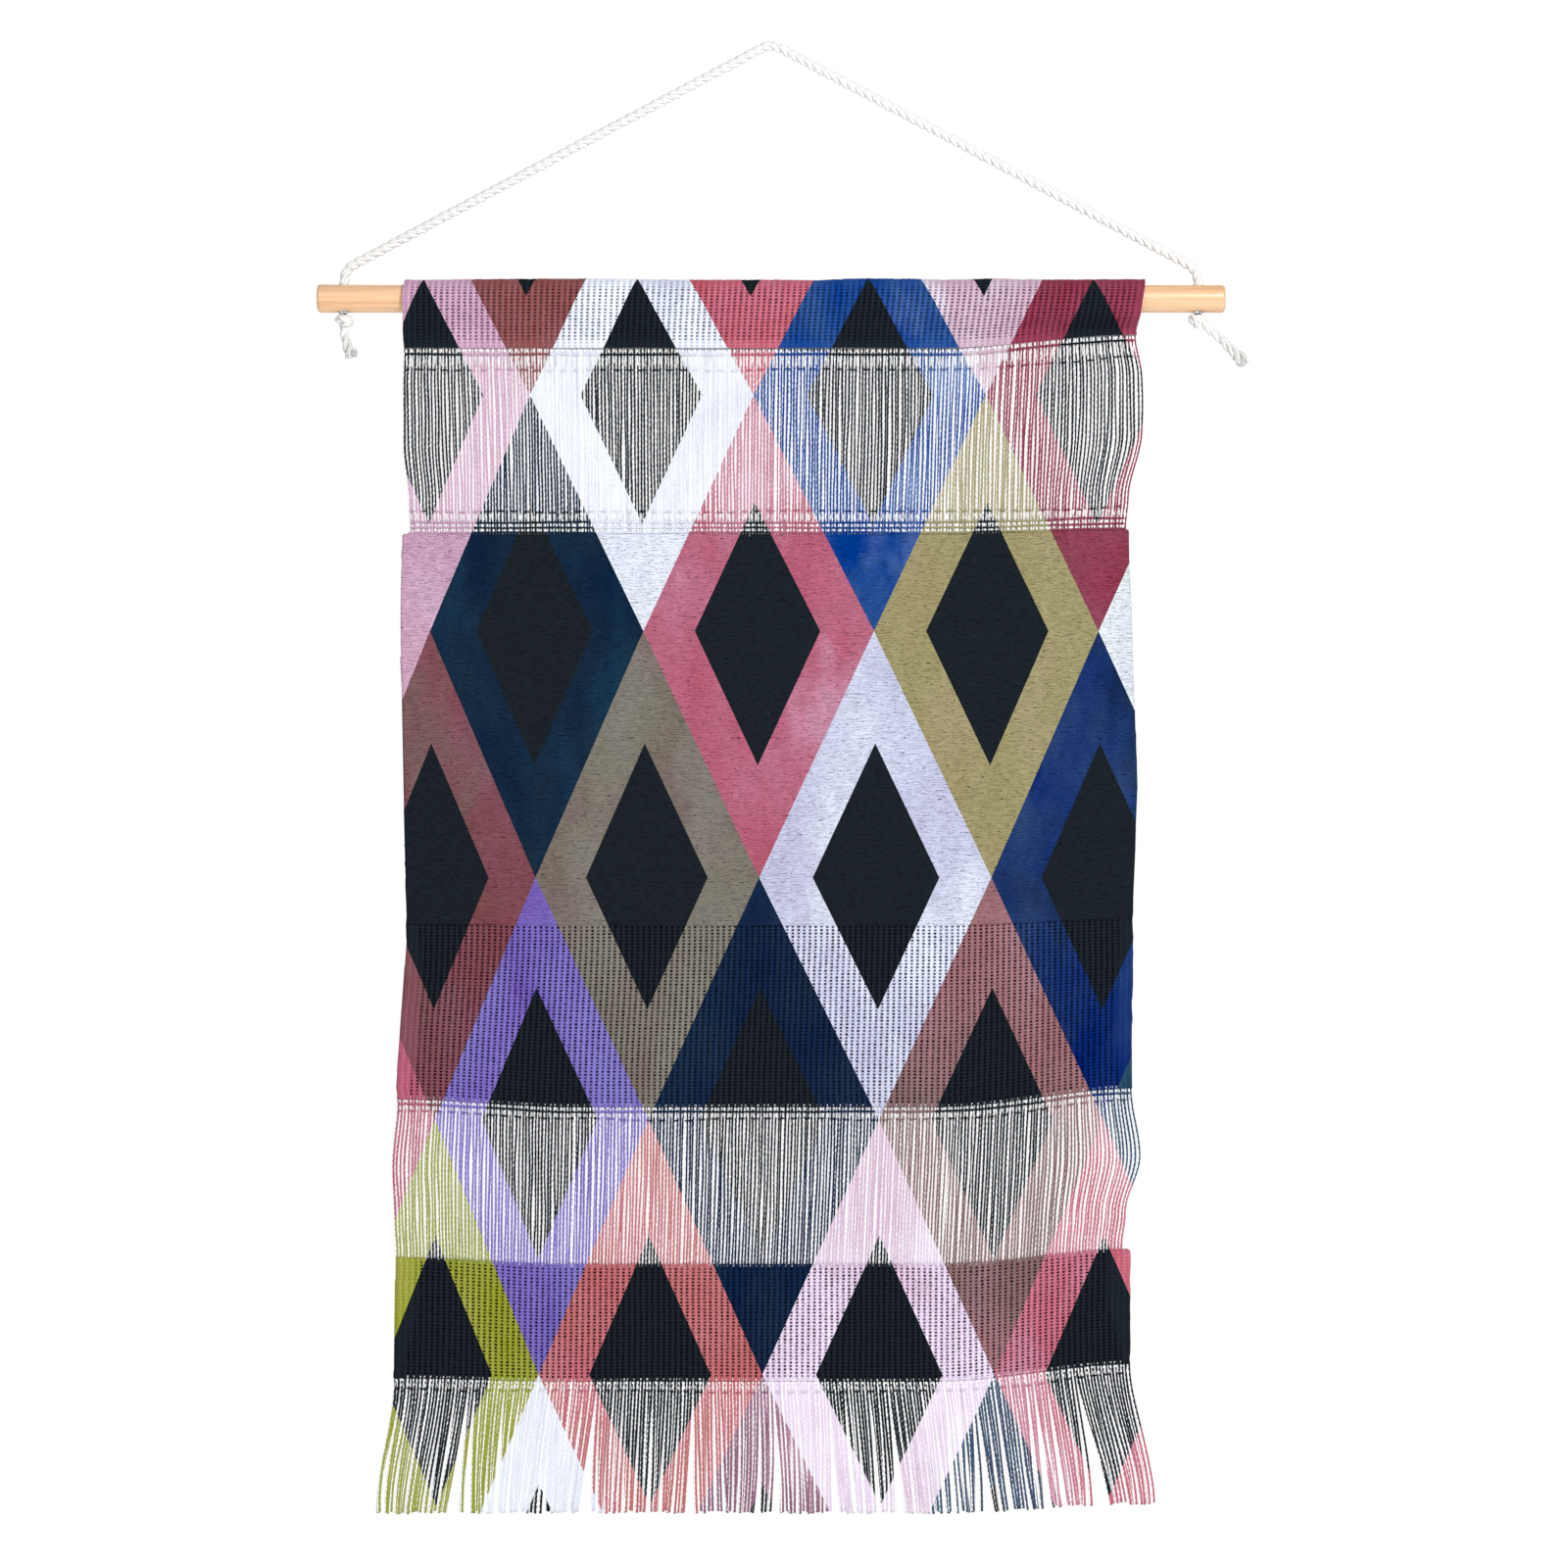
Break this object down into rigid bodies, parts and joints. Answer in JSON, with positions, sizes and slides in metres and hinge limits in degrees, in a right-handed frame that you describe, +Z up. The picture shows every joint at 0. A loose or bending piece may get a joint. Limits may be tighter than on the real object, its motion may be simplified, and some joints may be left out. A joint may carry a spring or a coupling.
{
  "type": "tapestry wall hanging",
  "caption": "Woven fringed wall hanging with banded weave, hung by a rod pocket on a drilled dowel with a knotted cord.",
  "frame": {"origin": "the point where the nail holds the cord: under the cord, at its middle, in the plane of the cloth", "axes": "+X to the viewer's right along the dowel, +Y towards the wall, +Z up"},
  "size_m": [0.4221, 0.0168, 0.666],
  "materials": {
    "dowel_wood": "satin",
    "cotton_cord": "matt twisted cotton",
    "seam_thread": "matt thread",
    "pocket_weave": "matt printed open weave",
    "tapestry_weave": "matt printed weft-faced weave",
    "mesh_weave": "matt printed open weave",
    "warp_yarn": "white cotton yarn printed on its front",
    "weft_yarn": "printed cotton yarn"
  },
  "bodies": {
    "cord": {"hanging_cord": "cotton_cord"},
    "rod": {"dowel": "dowel_wood", "cord_run_left": "cotton_cord", "cord_run_right": "cotton_cord", "knot_left": "cotton_cord", "knot_right": "cotton_cord", "tail_left": "cotton_cord", "tail_right": "cotton_cord"},
    "pocket": {"rod_pocket": "pocket_weave", "pocket_seam": "seam_thread", "upper_weft_top": "weft_yarn", "upper_warp_top_1": "warp_yarn", "upper_warp_top_2": "warp_yarn", "upper_warp_top_3": "warp_yarn", "upper_warp_top_4": "warp_yarn"},
    "woven_panel": {"upper_warp_bottom_1": "warp_yarn", "upper_warp_bottom_2": "warp_yarn", "upper_warp_bottom_3": "warp_yarn", "upper_warp_bottom_4": "warp_yarn", "upper_weft_bottom": "weft_yarn", "tapestry_panel": "tapestry_weave", "mesh_panel": "mesh_weave", "lower_weft_top": "weft_yarn", "lower_warp_top_1": "warp_yarn", "lower_warp_top_2": "warp_yarn", "lower_warp_top_3": "warp_yarn", "lower_warp_top_4": "warp_yarn"},
    "lower_panel": {"lower_warp_bottom_1": "warp_yarn", "lower_warp_bottom_2": "warp_yarn", "lower_warp_bottom_3": "warp_yarn", "lower_warp_bottom_4": "warp_yarn", "lower_mesh_panel": "mesh_weave", "fringe_header": "warp_yarn", "fringe_weft": "weft_yarn"},
    "fringe": {"fringe_1": "warp_yarn", "fringe_2": "warp_yarn", "fringe_3": "warp_yarn", "fringe_4": "warp_yarn", "fringe_5": "warp_yarn", "fringe_6": "warp_yarn", "fringe_7": "warp_yarn", "fringe_8": "warp_yarn", "fringe_9": "warp_yarn", "fringe_10": "warp_yarn", "fringe_11": "warp_yarn"}
  },
  "joints": [
    {"name": "rod_turn", "type": "hinge", "parent": "cord", "child": "rod", "pos_m": [0, 0, -0.112], "axis": [1, 0, 0], "range_deg": [-45, 45]},
    {"name": "pocket_turn", "type": "hinge", "parent": "rod", "child": "pocket", "pos_m": [0, 0, -0.112], "axis": [1, 0, 0], "range_deg": [-60, 60]},
    {"name": "upper_fold", "type": "hinge", "parent": "pocket", "child": "woven_panel", "pos_m": [0, 0, -0.1765], "axis": [1, 0, 0], "range_deg": [-90, 90]},
    {"name": "lower_fold", "type": "hinge", "parent": "woven_panel", "child": "lower_panel", "pos_m": [0, 0, -0.513], "axis": [1, 0, 0], "range_deg": [-90, 90]},
    {"name": "fringe_fold", "type": "hinge", "parent": "lower_panel", "child": "fringe", "pos_m": [0, 0, -0.6095], "axis": [1, 0, 0], "range_deg": [-90, 90]}
  ]
}
